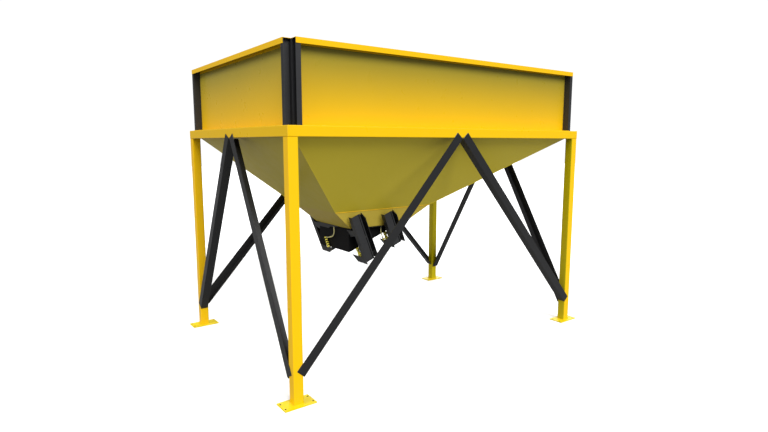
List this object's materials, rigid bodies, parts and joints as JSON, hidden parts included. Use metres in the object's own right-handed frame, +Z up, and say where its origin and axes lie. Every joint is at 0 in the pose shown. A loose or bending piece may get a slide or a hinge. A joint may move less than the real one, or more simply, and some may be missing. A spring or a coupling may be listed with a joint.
{
  "type": "aggregate hopper",
  "caption": "Open-topped steel hopper for aggregate on a braced four-leg stand, with a tapered funnel and swinging discharge flaps under the offset outlet.",
  "frame": {"origin": "on the ground in the middle of the stand's footprint, at the level of the base plates' undersides", "axes": "+X along the stand's long side, away from the outlet; +Y from the front to the back; +Z up"},
  "size_m": [5.27, 3.5, 3.975],
  "materials": {
    "yellow_paint": "semi-gloss",
    "black_paint": "semi-gloss",
    "bare_steel": "machined",
    "yellow_brass": "bright",
    "yellow_rubber": "satin"
  },
  "bodies": {
    "stand": {"air_hose": "yellow_rubber", "air_valve": "yellow_brass", "barrel_back_one": "yellow_brass", "barrel_back_two": "yellow_brass", "barrel_front_one": "yellow_brass", "barrel_front_two": "yellow_brass", "base_plate_back_left": "yellow_paint", "base_plate_back_right": "yellow_paint", "base_plate_front_left": "yellow_paint", "base_plate_front_right": "yellow_paint", "brace_back_left": "black_paint", "brace_back_right": "black_paint", "brace_front_left": "black_paint", "brace_front_right": "black_paint", "brace_left_back": "black_paint", "brace_left_front": "black_paint", "brace_right_back": "black_paint", "brace_right_front": "black_paint", "corner_post_back_left": "black_paint", "corner_post_back_right": "black_paint", "corner_post_front_left": "black_paint", "corner_post_front_right": "black_paint", "funnel_back": "yellow_paint", "funnel_front": "yellow_paint", "funnel_left": "yellow_paint", "funnel_right": "yellow_paint", "gate_hose_back": "yellow_rubber", "gate_hose_front": "yellow_rubber", "guard_back_one": "black_paint", "guard_back_two": "black_paint", "guard_front_one": "black_paint", "guard_front_two": "black_paint", "leg_back_left": "yellow_paint", "leg_back_right": "yellow_paint", "leg_front_left": "yellow_paint", "leg_front_right": "yellow_paint", "outlet_chute": "black_paint", "outlet_collar": "black_paint", "ring_beam_back": "yellow_paint", "ring_beam_front": "yellow_paint", "ring_beam_left": "yellow_paint", "ring_beam_right": "yellow_paint", "wall_back": "yellow_paint", "wall_front": "yellow_paint", "wall_left": "yellow_paint", "wall_right": "yellow_paint"},
    "flap_one": {"flap_one": "black_paint", "flap_shaft_one": "bare_steel"},
    "rod_front_one": {"rod_front_one": "yellow_brass"},
    "rod_back_one": {"rod_back_one": "yellow_brass"},
    "flap_two": {"flap_two": "black_paint", "flap_shaft_two": "bare_steel"},
    "rod_front_two": {"rod_front_two": "yellow_brass"},
    "rod_back_two": {"rod_back_two": "yellow_brass"}
  },
  "joints": [
    {"name": "flap_one_hinge", "type": "hinge", "parent": "stand", "child": "flap_one", "pos_m": [-0.78073, 0, 1.44092], "axis": [0, 1, 0], "range_deg": [0, 70]},
    {"name": "flap_two_hinge", "type": "hinge", "parent": "stand", "child": "flap_two", "pos_m": [-0.29527, 0, 1.62727], "axis": [0, 1, 0], "range_deg": [0, 70]},
    {"name": "rod_front_one_slide", "type": "slide", "parent": "stand", "child": "rod_front_one", "axis": [-0.3584, 0, 0.9336], "range_m": [0, 0.092]},
    {"name": "rod_back_one_slide", "type": "slide", "parent": "stand", "child": "rod_back_one", "axis": [-0.3584, 0, 0.9336], "range_m": [0, 0.092]},
    {"name": "rod_front_two_slide", "type": "slide", "parent": "stand", "child": "rod_front_two", "axis": [-0.3584, 0, 0.9336], "range_m": [0, 0.092]},
    {"name": "rod_back_two_slide", "type": "slide", "parent": "stand", "child": "rod_back_two", "axis": [-0.3584, 0, 0.9336], "range_m": [0, 0.092]}
  ],
  "couplings": [
    {"joint": "rod_front_one_slide", "follows": "flap_one_hinge", "m_per_rad": 0.07512},
    {"joint": "rod_back_one_slide", "follows": "flap_one_hinge", "m_per_rad": 0.07512},
    {"joint": "rod_front_two_slide", "follows": "flap_two_hinge", "m_per_rad": 0.07512},
    {"joint": "rod_back_two_slide", "follows": "flap_two_hinge", "m_per_rad": 0.07512}
  ]
}
